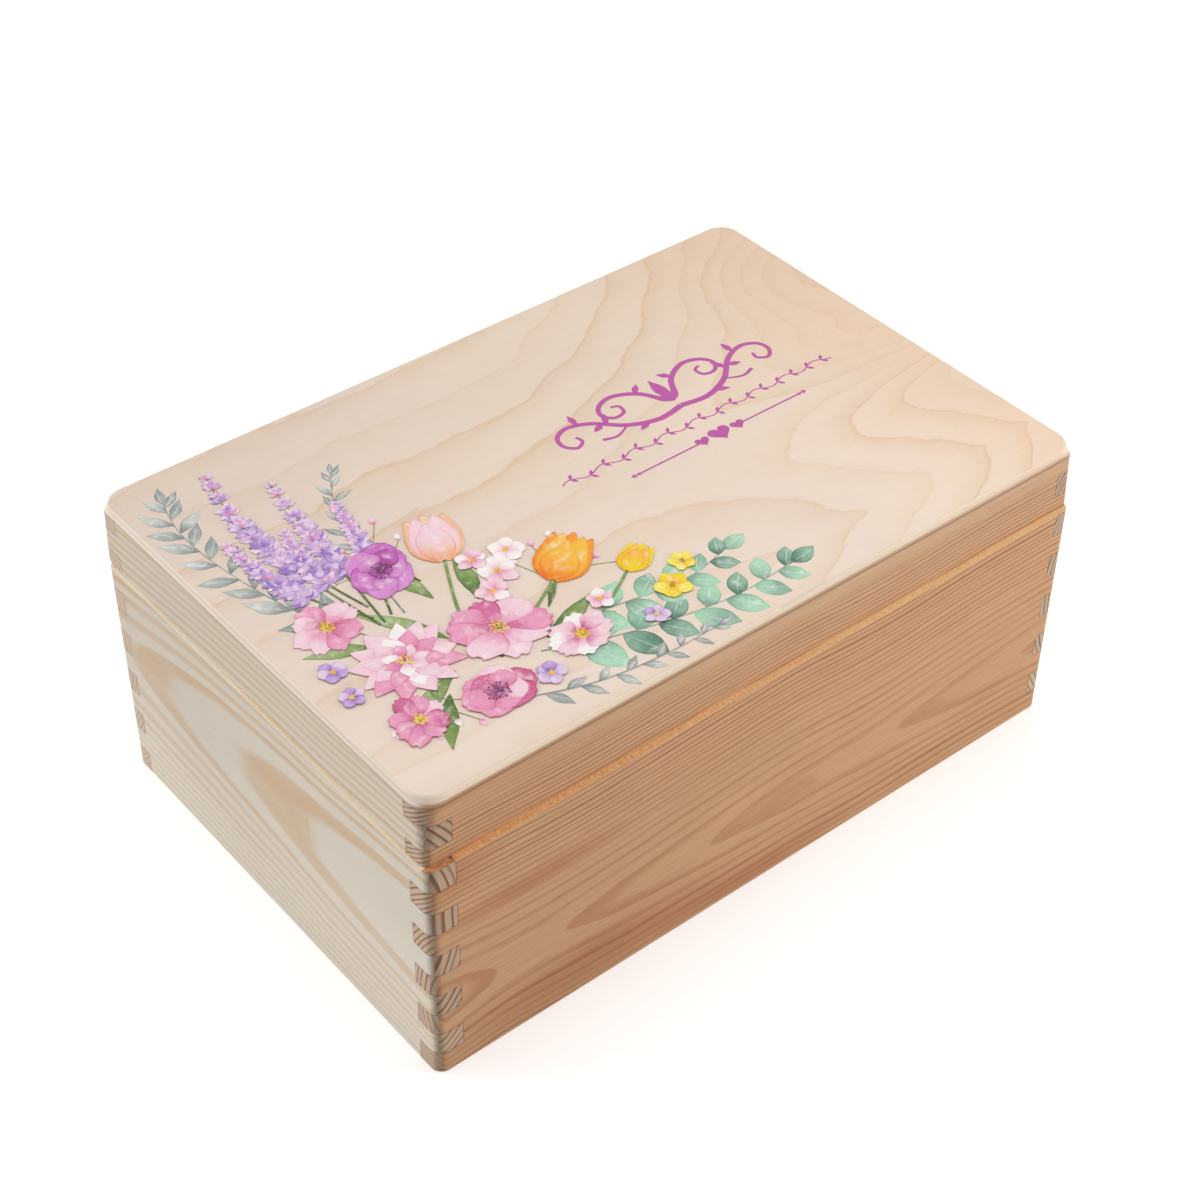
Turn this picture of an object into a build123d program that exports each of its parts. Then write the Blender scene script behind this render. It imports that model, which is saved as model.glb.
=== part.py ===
from build123d import *
import os
from collections import namedtuple
from math import radians, tan

# Hinged keepsake box, in millimetres: finger-jointed pine boards, a plywood bottom let into the base,
# a plywood top glued on the lid's frame, and two small butt hinges in the bevelled back edge.
# The origin is the middle of the underside, +X along the length, +Y to the hinged back, +Z up.

# Boards and panels
BOX_LENGTH = 300.0
BOX_DEPTH = 200.0
BASE_HEIGHT = 101.0
LID_FRAME_HEIGHT = 24.0
LONG_BOARD = 10.4
LEFT_BOARD = 11.0
RIGHT_BOARD = 8.0
BOTTOM_PLY = 4.0
TOP_PLY = 5.0
BOTTOM_REBATE = 5.0
REBATE_CORNER = 6.0
PANEL_FIT = 0.1

# The lid is a little smaller than the base, so the base shows a ledge at the front and the left.
LID_FRONT_STEP = 2.5
LID_LEFT_STEP = 0.9

# Rounded corners and edges: the lid's corners are sanded rounder towards the top, most of all at the
# front left. Each pair is that corner's radius and the radius of the other three.
BASE_CORNER = 4.5
LID_CORNERS_LOW = (3.0, 2.0)
LID_CORNERS_JOINT = (8.5, 4.5)
LID_CORNERS_HIGH = (11.0, 10.0)
BOTTOM_EDGE_ROUND = 0.4
TOP_EDGE_ROUND = 1.2

# Finger joints: the base holds this many fingers, and the saw that parted the lid took a slice of one.
BASE_FINGERS = 10
SAW_KERF = 3.0

# The hinge axis lies in the joint plane, where the two back bevels meet, so they stop the open lid.
AXIS_SETBACK = 3.0
OPEN_ANGLE = 100.0
STOP_ANGLE_GAP = 1.0

# Hinges
HINGE_INSET = 60.0
LEAF_LENGTH = 30.0
LEAF_THICKNESS = 1.0
LEAF_EDGE_MARGIN = 0.6
LEAF_FIT = 0.1
BARREL_RADIUS = 1.7
BARREL_ROOM = 0.4
KNUCKLES = 5
KNUCKLE_GAP = 0.2
LEAF_RELIEF = 0.3
PIN_RADIUS = 0.8
PIN_CLEARANCE = 0.05
PIN_HEAD_RADIUS = 1.2
PIN_HEAD_LENGTH = 0.4

# Hinge screws
SCREW_SPACING = 19.0
SCREW_LENGTH = 8.0
SCREW_RADIUS = 1.0
SCREW_TIP = 1.6
SCREW_HEAD_RADIUS = 1.7
SCREW_HEAD_HEIGHT = 0.8
SCREW_SINK = 0.05
SCREW_FIT = 0.03
RECESS_LENGTH = 2.0
RECESS_WIDTH = 0.5
RECESS_DEPTH = 0.5

# Heights and places worked out from the sizes above
LID_TOP = BASE_HEIGHT + LID_FRAME_HEIGHT
FINGER = BASE_HEIGHT / BASE_FINGERS
AXIS_Y = BOX_DEPTH / 2 - AXIS_SETBACK
AXIS_Z = BASE_HEIGHT
BEVEL_RISE = AXIS_SETBACK * tan(radians((OPEN_ANGLE + STOP_ANGLE_GAP) / 2))
LEAF_WIDTH = LONG_BOARD - AXIS_SETBACK - LEAF_EDGE_MARGIN
SCREW_Y = -(LEAF_WIDTH + BARREL_RADIUS + LEAF_RELIEF) / 2

Plan = namedtuple("Plan", "x0 x1 y0 y1")

BASE_OUTER = Plan(-BOX_LENGTH / 2, BOX_LENGTH / 2, -BOX_DEPTH / 2, BOX_DEPTH / 2)
LID_OUTER = Plan(
    BASE_OUTER.x0 + LID_LEFT_STEP,
    BASE_OUTER.x1,
    BASE_OUTER.y0 + LID_FRONT_STEP,
    BASE_OUTER.y1,
)


def grown(plan, dx, dy):
    """The plan with its sides moved outwards by dx and dy."""
    return Plan(plan.x0 - dx, plan.x1 + dx, plan.y0 - dy, plan.y1 + dy)


def inside(outer):
    """The plan of the space between the four boards."""
    return Plan(
        outer.x0 + LEFT_BOARD,
        outer.x1 - RIGHT_BOARD,
        outer.y0 + LONG_BOARD,
        outer.y1 - LONG_BOARD,
    )


def block(plan, z0, z1):
    """A square-cornered block over a plan."""
    size = (plan.x1 - plan.x0, plan.y1 - plan.y0, z1 - z0)
    return Pos((plan.x0 + plan.x1) / 2, (plan.y0 + plan.y1) / 2, (z0 + z1) / 2) * Box(*size)


def rounded_block(plan, z0, z1, corner):
    """A block whose four upright edges are rounded."""
    outline = RectangleRounded(plan.x1 - plan.x0, plan.y1 - plan.y0, corner)
    return extrude(Pos((plan.x0 + plan.x1) / 2, (plan.y0 + plan.y1) / 2, z0) * outline, z1 - z0)


def sanded_outline(plan, z, corners):
    """A plan's outline at a height: corners holds the front-left radius and that of the others."""
    outline = Rectangle(plan.x1 - plan.x0, plan.y1 - plan.y0)
    others = outline.vertices().sort_by(lambda vertex: vertex.X + vertex.Y)[1:]
    outline = fillet(others, corners[1])
    front_left = outline.vertices().sort_by(lambda vertex: vertex.X + vertex.Y)[0]
    outline = fillet(front_left, corners[0])
    return Pos((plan.x0 + plan.x1) / 2, (plan.y0 + plan.y1) / 2, z) * outline


def sanded_block(plan, z0, z1, corners0, corners1):
    """A block whose upright edges grow rounder from the bottom to the top."""
    return loft([sanded_outline(plan, z0, corners0), sanded_outline(plan, z1, corners1)], ruled=True)


def x_cylinder(radius, x0, x1):
    """A cylinder along X about the hinge axis, in the hinge's own frame."""
    return Pos((x0 + x1) / 2, 0, 0) * Rot(0, 90, 0) * Cylinder(radius, x1 - x0)


def hinge_places():
    """Side name and place of each hinge, at the middle of its axis."""
    return {
        "left": Pos(BASE_OUTER.x0 + HINGE_INSET, AXIS_Y, AXIS_Z),
        "right": Pos(BASE_OUTER.x1 - HINGE_INSET, AXIS_Y, AXIS_Z),
    }


def screw_places():
    """Where the screws stand on a leaf, in the hinge's own frame."""
    return [(-SCREW_SPACING / 2, SCREW_Y), (SCREW_SPACING / 2, SCREW_Y)]


def base_fingers():
    """Levels of the base's fingers, bottom first: the long boards own the lowest one."""
    return [(i * FINGER, (i + 1) * FINGER, i % 2 == 0) for i in range(BASE_FINGERS)]


def lid_fingers():
    """Levels of the lid's fingers: what the saw left of one, a whole one, and the rest."""
    first = BASE_HEIGHT + FINGER - SAW_KERF
    second = first + FINGER
    starts_long = BASE_FINGERS % 2 == 0
    return [
        (BASE_HEIGHT, first, starts_long),
        (first, second, not starts_long),
        (second, LID_TOP, starts_long),
    ]


def comb(outer, side, fingers):
    """The room of one board: a bar for each finger level, full length where the board owns it."""
    inner = inside(outer)
    bars = []
    for z0, z1, long_owns in fingers:
        if side in ("front", "back"):
            x0, x1 = (outer.x0, outer.x1) if long_owns else (inner.x0, inner.x1)
            y0, y1 = (outer.y0, inner.y0) if side == "front" else (inner.y1, outer.y1)
        else:
            y0, y1 = (inner.y0, inner.y1) if long_owns else (outer.y0, outer.y1)
            x0, x1 = (outer.x0, inner.x0) if side == "left" else (inner.x1, outer.x1)
        bars.append(block(Plan(x0, x1, y0, y1), z0, z1))
    return bars[0] + bars[1:]


def bevel(direction):
    """The wedge cut from a back edge, below the joint plane (-1) or above it (1)."""
    outline = Polyline(
        (AXIS_Y, AXIS_Z),
        (BASE_OUTER.y1, AXIS_Z + direction * BEVEL_RISE),
        (BASE_OUTER.y1, AXIS_Z),
        close=True,
    )
    profile = Plane.YZ * make_face(outline)
    return extrude(profile, BOX_LENGTH / 2, both=True)


def leaf_seat(direction):
    """The recess for one leaf and the barrel, in the hinge's own frame."""
    half = LEAF_LENGTH / 2 + LEAF_FIT
    z_far = direction * LEAF_THICKNESS
    seat = block(Plan(-half, half, -LEAF_WIDTH - LEAF_FIT, 0), min(0, z_far), max(0, z_far))
    end = LEAF_LENGTH / 2 + PIN_HEAD_LENGTH + BARREL_ROOM
    return seat + x_cylinder(BARREL_RADIUS + BARREL_ROOM, -end, end)


def pilot_holes(direction):
    """The screw holes in the wood, in the hinge's own frame."""
    radius = SCREW_RADIUS + SCREW_FIT
    depth = SCREW_LENGTH + SCREW_SINK
    hole = Pos(0, 0, direction * depth / 2) * Cylinder(radius, depth)
    return [Pos(x, y, 0) * hole for x, y in screw_places()]


def hinge_cuts(direction):
    """All that the hinges need taken out of the base (-1) or the lid (1)."""
    cuts = []
    for place in hinge_places().values():
        cuts.append(place * leaf_seat(direction))
        cuts += [place * hole for hole in pilot_holes(direction)]
    return cuts


def base_ring():
    """The base's four boards as one ring, before the fingers part them."""
    body = rounded_block(BASE_OUTER, 0, BASE_HEIGHT, BASE_CORNER)
    body = fillet(body.faces().sort_by(Axis.Z)[0].edges(), BOTTOM_EDGE_ROUND)
    inner = inside(BASE_OUTER)
    rebate = grown(inner, BOTTOM_REBATE, BOTTOM_REBATE)
    body -= block(inner, 0, BASE_HEIGHT)
    body -= rounded_block(rebate, 0, BOTTOM_PLY, REBATE_CORNER)
    body -= bevel(-1)
    return body - hinge_cuts(-1)


def lid_ring():
    """The lid's four boards as one ring."""
    body = sanded_block(LID_OUTER, BASE_HEIGHT, LID_TOP, LID_CORNERS_LOW, LID_CORNERS_JOINT)
    body -= block(inside(LID_OUTER), BASE_HEIGHT, LID_TOP)
    body -= bevel(1)
    return body - hinge_cuts(1)


def bottom_panel():
    """The plywood bottom, flush with the underside of the boards."""
    reach = BOTTOM_REBATE - PANEL_FIT
    plan = grown(inside(BASE_OUTER), reach, reach)
    return rounded_block(plan, 0, BOTTOM_PLY, REBATE_CORNER - PANEL_FIT)


def top_panel():
    """The plywood top, flush with the lid's frame, its upper edge rounded over."""
    panel = sanded_block(LID_OUTER, LID_TOP, LID_TOP + TOP_PLY, LID_CORNERS_JOINT, LID_CORNERS_HIGH)
    return fillet(panel.faces().sort_by(Axis.Z)[-1].edges(), TOP_EDGE_ROUND)


def knuckle_spans():
    """Where each knuckle starts and ends along the barrel."""
    pitch = LEAF_LENGTH / KNUCKLES
    starts = [-LEAF_LENGTH / 2 + i * pitch for i in range(KNUCKLES)]
    return [(x + KNUCKLE_GAP / 2, x + pitch - KNUCKLE_GAP / 2) for x in starts]


def countersink(direction):
    """A screw's hole through the leaf, with room for its head."""
    cone_height = SCREW_HEAD_HEIGHT + SCREW_SINK
    flare = (SCREW_HEAD_RADIUS - SCREW_RADIUS) / SCREW_HEAD_HEIGHT
    narrow = SCREW_RADIUS + SCREW_FIT
    wide = narrow + flare * cone_height
    cone = Cone(narrow, wide, cone_height) if direction < 0 else Cone(wide, narrow, cone_height)
    through = Pos(0, 0, direction * LEAF_THICKNESS / 2) * Cylinder(narrow, LEAF_THICKNESS)
    return Pos(0, 0, direction * cone_height / 2) * cone + through


def leaf(direction, own_knuckles):
    """A hinge leaf below (-1) or above (1) the joint plane, in the hinge's own frame."""
    z_far = direction * LEAF_THICKNESS
    plate_plan = Plan(-LEAF_LENGTH / 2, LEAF_LENGTH / 2, -LEAF_WIDTH, 0)
    plate = block(plate_plan, min(0, z_far), max(0, z_far))
    body = plate - x_cylinder(BARREL_RADIUS + LEAF_RELIEF, -LEAF_LENGTH / 2, LEAF_LENGTH / 2)
    for i, (x0, x1) in enumerate(knuckle_spans()):
        if i in own_knuckles:
            web = block(Plan(x0, x1, -BARREL_RADIUS - 2 * LEAF_RELIEF, 0), min(0, z_far), max(0, z_far))
            body += x_cylinder(BARREL_RADIUS, x0, x1) + web
    body -= x_cylinder(PIN_RADIUS + PIN_CLEARANCE, -LEAF_LENGTH / 2, LEAF_LENGTH / 2)
    body -= [Pos(x, y, 0) * countersink(direction) for x, y in screw_places()]
    return body


def hinge_pin():
    """The pin, with a small peened head at each end of the barrel."""
    half = LEAF_LENGTH / 2
    pin = x_cylinder(PIN_RADIUS, -half - PIN_HEAD_LENGTH, half + PIN_HEAD_LENGTH)
    heads = [
        x_cylinder(PIN_HEAD_RADIUS, -half - PIN_HEAD_LENGTH, -half),
        x_cylinder(PIN_HEAD_RADIUS, half, half + PIN_HEAD_LENGTH),
    ]
    return pin + heads


def screw(direction):
    """A countersunk cross-head wood screw, its head at the joint plane, its tip along direction."""
    outline = Polyline(
        (0, -SCREW_SINK),
        (SCREW_HEAD_RADIUS, -SCREW_SINK),
        (SCREW_RADIUS, -SCREW_SINK - SCREW_HEAD_HEIGHT),
        (SCREW_RADIUS, -SCREW_LENGTH + SCREW_TIP),
        (0, -SCREW_LENGTH),
        close=True,
    )
    body = revolve(Plane.XZ * make_face(outline), Axis.Z)
    for angle in (0, 90):
        slot = Box(RECESS_LENGTH, RECESS_WIDTH, 2 * RECESS_DEPTH)
        body -= Pos(0, 0, -SCREW_SINK) * Rot(0, 0, angle) * slot
    return body if direction < 0 else Rot(180, 0, 0) * body


def boards(prefix, ring, outer, fingers):
    """The four boards of a ring, each with its own fingers."""
    return {f"{prefix}_{side}_board": ring & comb(outer, side, fingers)
            for side in ("front", "back", "left", "right")}


def hinge_nodes():
    """The leaves, pins and screws of both hinges."""
    nodes = {}
    halves = {"base": (-1, range(0, KNUCKLES, 2)), "lid": (1, range(1, KNUCKLES, 2))}
    for side, place in hinge_places().items():
        for half, (direction, own_knuckles) in halves.items():
            nodes[f"{side}_hinge_{half}_leaf"] = place * leaf(direction, own_knuckles)
            screws = [place * Pos(x, y, 0) * screw(direction) for x, y in screw_places()]
            nodes[f"{side}_hinge_{half}_screws"] = Compound(children=screws)
        nodes[f"{side}_hinge_pin"] = place * hinge_pin()
    return nodes


def all_nodes():
    """Every piece of the box by name."""
    nodes = boards("base", base_ring(), BASE_OUTER, base_fingers())
    nodes["base_bottom_panel"] = bottom_panel()
    nodes.update(boards("lid", lid_ring(), LID_OUTER, lid_fingers()))
    nodes["lid_top_panel"] = top_panel()
    nodes.update(hinge_nodes())
    return nodes


os.makedirs("parts", exist_ok=True)
for name, shape in all_nodes().items():
    export_step(shape, f"parts/{name}.step")
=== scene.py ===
import math
import random
from collections import namedtuple
from functools import partialmethod

import bpy
from mathutils import Matrix, Vector


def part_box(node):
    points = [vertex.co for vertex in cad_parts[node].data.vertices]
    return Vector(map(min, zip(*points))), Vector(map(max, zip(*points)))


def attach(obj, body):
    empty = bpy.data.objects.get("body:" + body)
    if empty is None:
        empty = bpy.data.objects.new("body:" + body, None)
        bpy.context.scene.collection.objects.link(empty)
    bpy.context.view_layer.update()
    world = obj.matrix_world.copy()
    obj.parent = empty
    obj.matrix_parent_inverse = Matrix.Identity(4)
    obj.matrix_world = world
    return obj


# The box's looks: woods and metals for its CAD nodes, the print on the lid, and a white studio

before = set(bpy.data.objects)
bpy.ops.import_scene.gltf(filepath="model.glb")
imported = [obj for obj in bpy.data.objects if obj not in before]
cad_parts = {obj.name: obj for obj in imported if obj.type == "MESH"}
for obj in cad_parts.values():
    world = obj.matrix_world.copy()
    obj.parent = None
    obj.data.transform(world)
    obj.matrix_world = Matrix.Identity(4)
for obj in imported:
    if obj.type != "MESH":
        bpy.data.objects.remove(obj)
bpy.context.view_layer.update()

MM = 0.001

# Sizes read from the frame, in millimetres
BASE_LOW, BASE_HIGH = (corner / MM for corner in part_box("base_front_board"))
LEFT_LOW, LEFT_HIGH = (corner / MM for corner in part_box("base_left_board"))
RIGHT_LOW, RIGHT_HIGH = (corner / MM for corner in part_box("base_right_board"))
LID_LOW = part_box("lid_front_board")[0] / MM
PANEL_LOW, PANEL_HIGH = (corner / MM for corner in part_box("lid_top_panel"))
BASE_TOP = BASE_HIGH.z
LONG_BOARD = BASE_HIGH.y - BASE_LOW.y
LEFT_BOARD = LEFT_HIGH.x - LEFT_LOW.x
RIGHT_BOARD = RIGHT_HIGH.x - RIGHT_LOW.x
# The base is this many fingers high
FINGERS = 10
FINGER = BASE_TOP / FINGERS
# The saw cut between base and lid, and the plywood's top veneer, in millimetres
SAW_KERF = 3.0
VENEER = 1.6


def rgb(red, green, blue):
    """A shader colour from 0 to 255 screen values."""
    def linear(value):
        value /= 255
        return value / 12.92 if value <= 0.04045 else ((value + 0.055) / 1.055) ** 2.4
    return (linear(red), linear(green), linear(blue), 1.0)


def new_object(name, data):
    """An object linked to the scene."""
    made = bpy.data.objects.new(name, data)
    bpy.context.scene.collection.objects.link(made)
    return made


def operator(operation, swapped=False):
    """A method that combines a socket with a number or another socket."""
    def combine(self, other):
        values = (other, self) if swapped else (self, other)
        return self.graph.math(operation, *values)
    return combine


class Num:
    """A shader socket that formulas can combine."""

    def __init__(self, graph, socket):
        self.graph = graph
        self.socket = socket

    def __abs__(self):
        return self.graph.math("ABSOLUTE", self)

    __add__ = __radd__ = operator("ADD")
    __sub__ = operator("SUBTRACT")
    __rsub__ = operator("SUBTRACT", swapped=True)
    __mul__ = __rmul__ = operator("MULTIPLY")
    __truediv__ = operator("DIVIDE")


class Graph:
    """Builds the nodes of a new material or world."""

    def __init__(self, owner):
        owner.use_nodes = True
        self.owner = owner
        self.tree = owner.node_tree
        self.tree.nodes.clear()

    def node(self, kind, inputs=None, **settings):
        made = self.tree.nodes.new(kind)
        for key, value in settings.items():
            setattr(made, key, value)
        for key, value in (inputs or {}).items():
            self.feed(made.inputs[key], value)
        return made

    def feed(self, socket, value):
        if isinstance(value, Num):
            self.tree.links.new(value.socket, socket)
        else:
            socket.default_value = value

    def out(self, node, output=0):
        return Num(self, node.outputs[output])

    def math(self, operation, *values):
        return self.out(self.node("ShaderNodeMath", dict(enumerate(values)), operation=operation))

    fract = partialmethod(math, "FRACT")
    floor = partialmethod(math, "FLOOR")
    smaller = partialmethod(math, "MINIMUM")
    larger = partialmethod(math, "MAXIMUM")

    def smooth(self, low, high, value):
        """0 below low, 1 above high, smooth between."""
        inputs = {"Value": value, "From Min": low, "From Max": high}
        return self.out(self.node("ShaderNodeMapRange", inputs, interpolation_type="SMOOTHSTEP"))

    def line(self, distance, core, fade):
        """1 within core of a line, 0 beyond fade."""
        return 1 - self.smooth(core, fade, distance)

    def vector(self, x, y, z):
        return self.out(self.node("ShaderNodeCombineXYZ", {"X": x, "Y": y, "Z": z}))

    def noise(self, x, y=0.0, z=0.0, detail=2.0, roughness=0.5):
        """Smooth noise about 0, from about -0.5 to 0.5."""
        inputs = {"Vector": self.vector(x, y, z), "Scale": 1.0, "Detail": detail, "Roughness": roughness}
        return self.out(self.node("ShaderNodeTexNoise", inputs)) - 0.5

    def chance(self, value):
        """A random number from 0 to 1 for each whole value."""
        return self.out(self.node("ShaderNodeTexWhiteNoise", {"W": value}, noise_dimensions="1D"))

    def mix(self, factor, a, b, blend="MIX"):
        inputs = {0: factor, 6: a, 7: b}
        return self.out(self.node("ShaderNodeMix", inputs, data_type="RGBA", blend_type=blend), 2)

    def shade(self, colour, factor):
        """The colour times a grey factor."""
        return self.mix(1.0, colour, self.vector(factor, factor, factor), "MULTIPLY")

    def attribute(self, name, output="Fac"):
        return self.out(self.node("ShaderNodeAttribute", attribute_name=name), output)

    def axes(self, output):
        """The parts of a texture coordinate, which follows the piece when it moves."""
        coordinate = self.out(self.node("ShaderNodeTexCoord"), output)
        split = self.node("ShaderNodeSeparateXYZ", {"Vector": coordinate})
        return [self.out(split, axis) for axis in "XYZ"]

    def place(self):
        """The point in millimetres in the part's frame at rest."""
        return [value * (1 / MM) for value in self.axes("Object")]

    def finish(self, colour, roughness, metallic=0.0, height=None, depth=0.0, specular=0.3):
        """Ends the graph in a principled surface, with bump of that depth in millimetres."""
        surface = self.node("ShaderNodeBsdfPrincipled", {
            "Base Color": colour,
            "Roughness": roughness,
            "Metallic": metallic,
            "Specular IOR Level": specular,
        })
        if height is not None:
            bump = self.node("ShaderNodeBump", {"Height": height, "Distance": depth * MM})
            self.feed(surface.inputs["Normal"], self.out(bump))
        self.node("ShaderNodeOutputMaterial", {"Surface": self.out(surface)})
        return self.owner


# How one pine plank grew and was sawn. The board's own axes: u along the grain, v through, w up.
# The tree's heart lies outside the board, at pith_v and pith_w. It leans by tilt away from where u is
# heart_u, and ring number 0 passes the point u = ring_u of the face at v = face_v. The rings are ring
# wide there and narrow outwards; those before number least are too faint to see. In each, dark late wood
# sets in from rise0 to rise1 and ends at fall. Warp is how far the rings wander, uneven how much they
# differ in strength, and fainter how much of it the later rings lose. Blunt is half the width of the
# rings' flat tips on the face. Ground is how much paler the wood gets downwards: on the left board this
# is painted light bounced up from the floor, and on the front, where it is negative, the wood only gets
# darker downwards. Drift is how much paler the wood gets along u: painted light and shade, where the
# lamps' light falls off across a face.
Plank = namedtuple("Plank", (
    "along face_v pith_v pith_w heart_u tilt ring_u ring narrowing rise0 rise1 fall warp uneven fainter "
    "seed early late strong end_early end_late least blunt ground drift"
), defaults=(-99.0, 0.0, 0.0, 0.0))

FRONT_PLANK = Plank(
    along="X", face_v=BASE_LOW.y, pith_v=-142.0, pith_w=36.0, heart_u=-107.0, tilt=0.028,
    ring_u=-88.0, ring=2.1, narrowing=0.002, rise0=0.45, rise1=0.84, fall=0.95,
    warp=0.5, uneven=0.6, fainter=0.1, ground=-0.05, drift=0.065, seed=1.0,
    early=rgb(216, 169, 128), late=rgb(194, 138, 97), strong=rgb(170, 110, 73),
    end_early=rgb(218, 192, 166), end_late=rgb(150, 100, 74),
)
BACK_PLANK = Plank(
    along="X", face_v=-BASE_LOW.y, pith_v=160.0, pith_w=62.0, heart_u=40.0, tilt=0.03,
    ring_u=90.0, ring=2.2, narrowing=0.0, rise0=0.4, rise1=0.75, fall=0.95,
    warp=1.2, uneven=1.0, fainter=0.2, seed=7.0,
    early=rgb(232, 194, 152), late=rgb(208, 156, 110), strong=rgb(190, 134, 90),
    end_early=rgb(226, 206, 184), end_late=rgb(188, 154, 130),
)
LEFT_PLANK = Plank(
    along="Y", face_v=LEFT_LOW.x, pith_v=-235.0, pith_w=63.0, heart_u=400.0, tilt=0.05,
    ring_u=21.5, ring=3.4, narrowing=0.004, least=-0.9, rise0=0.3, rise1=0.6, fall=0.84,
    warp=0.9, uneven=0.4, fainter=0.1, blunt=4.0, ground=0.09, drift=-0.09, seed=3.0,
    early=rgb(228, 218, 203), late=rgb(221, 194, 163), strong=rgb(214, 181, 143),
    end_early=rgb(206, 176, 148), end_late=rgb(132, 88, 64),
)
RIGHT_PLANK = Plank(
    along="Y", face_v=RIGHT_HIGH.x, pith_v=238.0, pith_w=48.0, heart_u=-400.0, tilt=0.04,
    ring_u=30.0, ring=2.6, narrowing=0.004, rise0=0.3, rise1=0.7, fall=0.8,
    warp=1.2, uneven=1.0, fainter=0.2, seed=5.0,
    early=rgb(230, 212, 184), late=rgb(220, 184, 144), strong=rgb(206, 162, 118),
    end_early=rgb(216, 188, 162), end_late=rgb(146, 102, 78),
)

# On the front, over SLIP_U, the rings slip by these shares of their spacing, which spreads them there.
SLIP_U = (-20.0, 70.0)
SLIP = (-0.18, 0.35)
# On the left, brown wood fills the tip of the inner ring: where it ends, its middle height and half height.
FILL_END = -29.0
FILL_W = 61.0
FILL_HALF = 13.0
# Left of this point the front's rings turn back, more steeply, and close in a lobe at the corner.
LOBE_U = -118.0
LOBE_STEEP = 2.2
# Ovals on the front, each by its middle along and up, half length and half height: a swirl in the rings
# and the russet patches
SWIRL = (13.0, 36.0, 24.0, 5.5)
STAINS = (
    (-80.0, 13.0, 85.0, 17.0), (-5.0, 6.0, 65.0, 8.0), (-110.0, 71.0, 60.0, 8.0),
    (-150.0, 96.0, 35.0, 18.0), (-142.0, 130.0, 40.0, 5.0),
)
# The side boards' rings stand most upright a little higher at the board's end than on its face.
END_RISE = 13.0

# Saw-fresh wood, the dark grain of each first; golden gets paler to the right
GOLDEN = (rgb(226, 158, 98), rgb(253, 208, 152))
PALE_GOLDEN = (rgb(242, 194, 138), rgb(255, 226, 178))
CREAM = (rgb(250, 232, 202), rgb(255, 246, 226))
RUSSET = (rgb(164, 102, 62), rgb(228, 162, 106))


def oval(g, u, w, middle_u, middle_w, half_u, half_w):
    """1 in the middle of an oval, 0 at its edge and beyond."""
    a, b = (u - middle_u) / half_u, (w - middle_w) / half_w
    return g.line(g.math("SQRT", a * a + b * b), 0.1, 1.0)


def growth_rings(g, plank, u, v, w):
    """Where a point lies within its growth ring, from 0 to 1, that ring's number and its random number."""
    s = plank.seed * 17.3
    sign = 1 if plank.face_v > plank.pith_v else -1
    away = u - plank.heart_u
    if plank is FRONT_PLANK:
        away = g.larger(g.larger(away, (LOBE_U - u) * LOBE_STEEP), 0.0)
    lean = g.math("SQRT", away * away + 60.0) * plank.tilt
    ring_lean = math.sqrt((plank.ring_u - plank.heart_u) ** 2 + 60.0) * plank.tilt
    first = abs(plank.face_v - plank.pith_v) - ring_lean
    slow = g.noise(u * 0.006 + s, v * 0.01, w * 0.02, 1.0) * (2 * plank.warp)
    rise = g.noise(u * 0.011, s + v * 0.01, 0.0, 1.0) * 7
    wiggle = g.noise(u * 0.035, v * 0.05 + s, w * 0.1, 1.0) * 0.5
    across = (v - plank.pith_v) * sign - lean
    up = w - plank.pith_w + rise * g.smooth(4.0, 25.0, abs(w - plank.pith_w))
    up = g.larger(abs(up) - plank.blunt, 0.0) * (1 + 0.04 * plank.blunt)
    radius = g.math("SQRT", across * across + up * up) + slow + wiggle - first
    count = radius * (1 + abs(radius) * plank.narrowing) / plank.ring
    count = count + g.noise(radius * 0.13, s) * 1.2 - g.noise(0.0, s) * 1.2
    if plank is FRONT_PLANK:
        slip = g.smooth(*SLIP_U, u) * (SLIP[1] - SLIP[0]) + SLIP[0]
        count = count + slip + oval(g, u, w, *SWIRL) * 0.5
    return g.fract(count), count, g.chance(g.floor(count) + plank.seed)


def inner_fill(g, count, u, w):
    """The brown wood filling the tip of the left board's inner ring."""
    inside = g.line(count, -0.22, -0.14) * g.smooth(FILL_END - 1.2, FILL_END + 1.2, u)
    return inside * g.line(abs(w - FILL_W), FILL_HALF * 0.8, FILL_HALF)


def front_lines(g, x, z):
    """How strong the front's rings are: most on the lid, least at mid-height and under the plywood."""
    base = 0.6 + g.smooth(66.0, 86.0, z) * 0.65 + g.smooth(54.0, 44.0, z) * 0.3
    lid = 0.8 - g.smooth(-50.0, -120.0, x) * 0.65
    up = z - BASE_TOP
    return base + g.smooth(0.0, 4.0, up) * lid - g.smooth(13.0, 21.0, up) * (lid + 0.6)


def finger_lines(g, x, y, w, low, high):
    """The thin dark glue lines round the fingers at the corners."""
    left_in, right_in = low.x + LEFT_BOARD, high.x - RIGHT_BOARD
    front_in, back_in = low.y + LONG_BOARD, high.y - LONG_BOARD
    inner_x = g.smaller(abs(x - left_in), abs(x - right_in))
    inner_y = g.smaller(abs(y - front_in), abs(y - back_in))
    in_x = g.math("LESS_THAN", g.smaller(x - left_in, right_in - x), 0.0)
    in_y = g.math("LESS_THAN", g.smaller(y - front_in, back_in - y), 0.0)
    level = w / FINGER
    odd = g.fract(g.floor(level) * 0.5) * 2
    gap = abs(g.fract(level + 0.5) - 0.5) * FINGER
    flat = g.line(gap, 0.05, 0.22) * in_x * in_y
    front = g.line(inner_x, 0.05, 0.22) * in_y * odd
    side = g.line(inner_y, 0.05, 0.22) * in_x * (1 - odd)
    return g.larger(flat, g.larger(front, side))


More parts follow.
